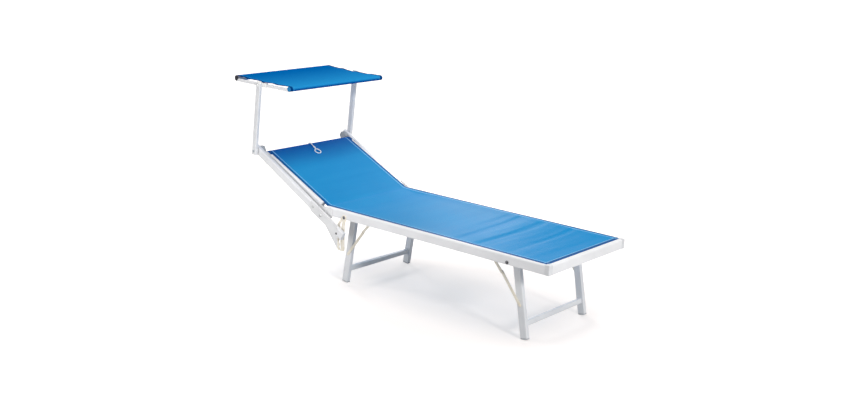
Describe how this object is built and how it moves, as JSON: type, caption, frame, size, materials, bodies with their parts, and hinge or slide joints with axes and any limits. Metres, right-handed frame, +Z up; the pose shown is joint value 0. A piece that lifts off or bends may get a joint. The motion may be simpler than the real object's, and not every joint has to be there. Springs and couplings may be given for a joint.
{
  "type": "sun lounger",
  "caption": "Folding sun lounger with blue sling cloth, reclining backrest, hinged canopy on two posts, leg frames with folding stays and a pull cord with ring",
  "frame": {"origin": "on the floor under the middle of the overall length and width", "axes": "+X toward the foot end, +Y toward the left of a person lying with feet to +X, +Z up"},
  "size_m": [1.9908, 0.7118, 0.967],
  "materials": {
    "silver_rail": "satin silver powder coat",
    "silver_tube": "satin silver powder coat",
    "canopy_tube": "satin silver tube inside the cloth sleeve",
    "grey_plate": "smooth grey coat on pressed plate",
    "zinc_hardware": "zinc plated, slightly dull",
    "nylon": "cream moulded nylon",
    "grey_plastic": "grey moulded plastic",
    "white_plastic": "white moulded plastic",
    "sling_cloth": "woven coated mesh cloth, bright blue",
    "canopy_cloth": "woven coated cloth, deep blue",
    "cord": "braided light cord"
  },
  "bodies": {
    "seat_frame": {"foot_corner_left": "grey_plastic", "foot_corner_right": "grey_plastic", "foot_rail": "silver_rail", "front_leg_bolt_left": "zinc_hardware", "front_leg_bolt_right": "zinc_hardware", "hinge_bolt_left": "zinc_hardware", "hinge_bolt_right": "zinc_hardware", "hinge_plate_left": "grey_plate", "hinge_plate_right": "grey_plate", "rear_leg_bolt_left": "zinc_hardware", "rear_leg_bolt_right": "zinc_hardware", "seat_cloth": "sling_cloth", "seat_rail_left": "silver_rail", "seat_rail_right": "silver_rail"},
    "backrest": {"arm_left": "silver_tube", "arm_right": "silver_tube", "back_cloth": "sling_cloth", "back_end_block_left": "grey_plastic", "back_end_block_right": "grey_plastic", "back_rail_left": "silver_rail", "back_rail_right": "silver_rail", "cord_crimp": "white_plastic", "head_bar": "silver_tube", "lever_plate_left": "grey_plate", "lever_plate_right": "grey_plate", "pull_cord": "cord", "pull_ring": "white_plastic", "spacer_rivet_left": "zinc_hardware", "spacer_rivet_right": "zinc_hardware"},
    "notched_straps": {"notched_strap_left": "nylon", "notched_strap_right": "nylon"},
    "posts": {"post_cap_left": "white_plastic", "post_cap_right": "white_plastic", "post_left": "silver_tube", "post_right": "silver_tube"},
    "knob_left": {"post_knob_left": "grey_plastic"},
    "knob_right": {"post_knob_right": "grey_plastic"},
    "canopy": {"canopy_clamp_left": "white_plastic", "canopy_clamp_right": "white_plastic", "canopy_cloth": "canopy_cloth", "canopy_front_tube": "canopy_tube", "canopy_rear_tube": "canopy_tube", "canopy_side_tube_left": "silver_rail", "canopy_side_tube_right": "silver_rail"},
    "front_legs": {"front_leg_frame": "silver_tube", "front_foot_left": "grey_plastic", "front_foot_right": "grey_plastic"},
    "front_stay_lower": {"front_stay_lower_left": "nylon", "front_stay_lower_right": "nylon"},
    "front_stay_upper": {"front_stay_upper_left": "nylon", "front_stay_upper_right": "nylon"},
    "rear_legs": {"rear_leg_frame": "silver_tube", "rear_foot_left": "grey_plastic", "rear_foot_right": "grey_plastic"},
    "rear_stay_lower": {"rear_stay_lower_left": "nylon", "rear_stay_lower_right": "nylon"},
    "rear_stay_upper": {"rear_stay_upper_left": "nylon", "rear_stay_upper_right": "nylon"}
  },
  "joints": [
    {"name": "recline", "type": "hinge", "parent": "seat_frame", "child": "backrest", "pos_m": [-0.35256, 0, 0.3465], "axis": [0, 1, 0], "range_deg": [-25.1, 40]},
    {"name": "strap_swing", "type": "hinge", "parent": "seat_frame", "child": "notched_straps", "pos_m": [-0.21546, 0, 0.357], "axis": [0, 1, 0], "range_deg": [-17.57, 28]},
    {"name": "post_fold", "type": "hinge", "parent": "backrest", "child": "posts", "pos_m": [-0.82556, 0, 0.597], "axis": [0, 1, 0], "range_deg": [-35, 60]},
    {"name": "canopy_tilt", "type": "hinge", "parent": "posts", "child": "canopy", "pos_m": [-0.78958, 0, 0.94102], "axis": [0, 1, 0], "range_deg": [-35, 25]},
    {"name": "knob_turn_left", "type": "hinge", "parent": "backrest", "child": "knob_left", "pos_m": [-0.82556, 0, 0.597], "axis": [0, 1, 0], "range_deg": [-180, 180]},
    {"name": "knob_turn_right", "type": "hinge", "parent": "backrest", "child": "knob_right", "pos_m": [-0.82556, 0, 0.597], "axis": [0, 1, 0], "range_deg": [-180, 180]},
    {"name": "front_leg_fold", "type": "hinge", "parent": "seat_frame", "child": "front_legs", "pos_m": [0.77399, 0, 0.357], "axis": [0, 1, 0], "range_deg": [0, 100.53]},
    {"name": "rear_leg_fold", "type": "hinge", "parent": "seat_frame", "child": "rear_legs", "pos_m": [-0.21546, 0, 0.357], "axis": [0, 1, 0], "range_deg": [-99.14, 0]},
    {"name": "front_stay_lower_turn", "type": "hinge", "parent": "front_legs", "child": "front_stay_lower", "pos_m": [0.81174, 0, 0.15387], "axis": [0, 1, 0], "range_deg": [0, 30.82]},
    {"name": "front_stay_upper_turn", "type": "hinge", "parent": "seat_frame", "child": "front_stay_upper", "pos_m": [0.64102, 0, 0.357], "axis": [0, 1, 0], "range_deg": [-42.53, 0]},
    {"name": "rear_stay_lower_turn", "type": "hinge", "parent": "rear_legs", "child": "rear_stay_lower", "pos_m": [-0.24854, 0, 0.15137], "axis": [0, 1, 0], "range_deg": [-31.36, 0]},
    {"name": "rear_stay_upper_turn", "type": "hinge", "parent": "seat_frame", "child": "rear_stay_upper", "pos_m": [-0.08083, 0, 0.357], "axis": [0, 1, 0], "range_deg": [0, 43.38]}
  ],
  "couplings": [
    {"joint": "strap_swing", "follows": "recline", "ratio": 0.7},
    {"joint": "front_stay_lower_turn", "follows": "front_leg_fold", "ratio": 0.30655},
    {"joint": "front_stay_upper_turn", "follows": "front_leg_fold", "ratio": -0.4231},
    {"joint": "rear_stay_lower_turn", "follows": "rear_leg_fold", "ratio": 0.31634},
    {"joint": "rear_stay_upper_turn", "follows": "rear_leg_fold", "ratio": -0.43755}
  ]
}
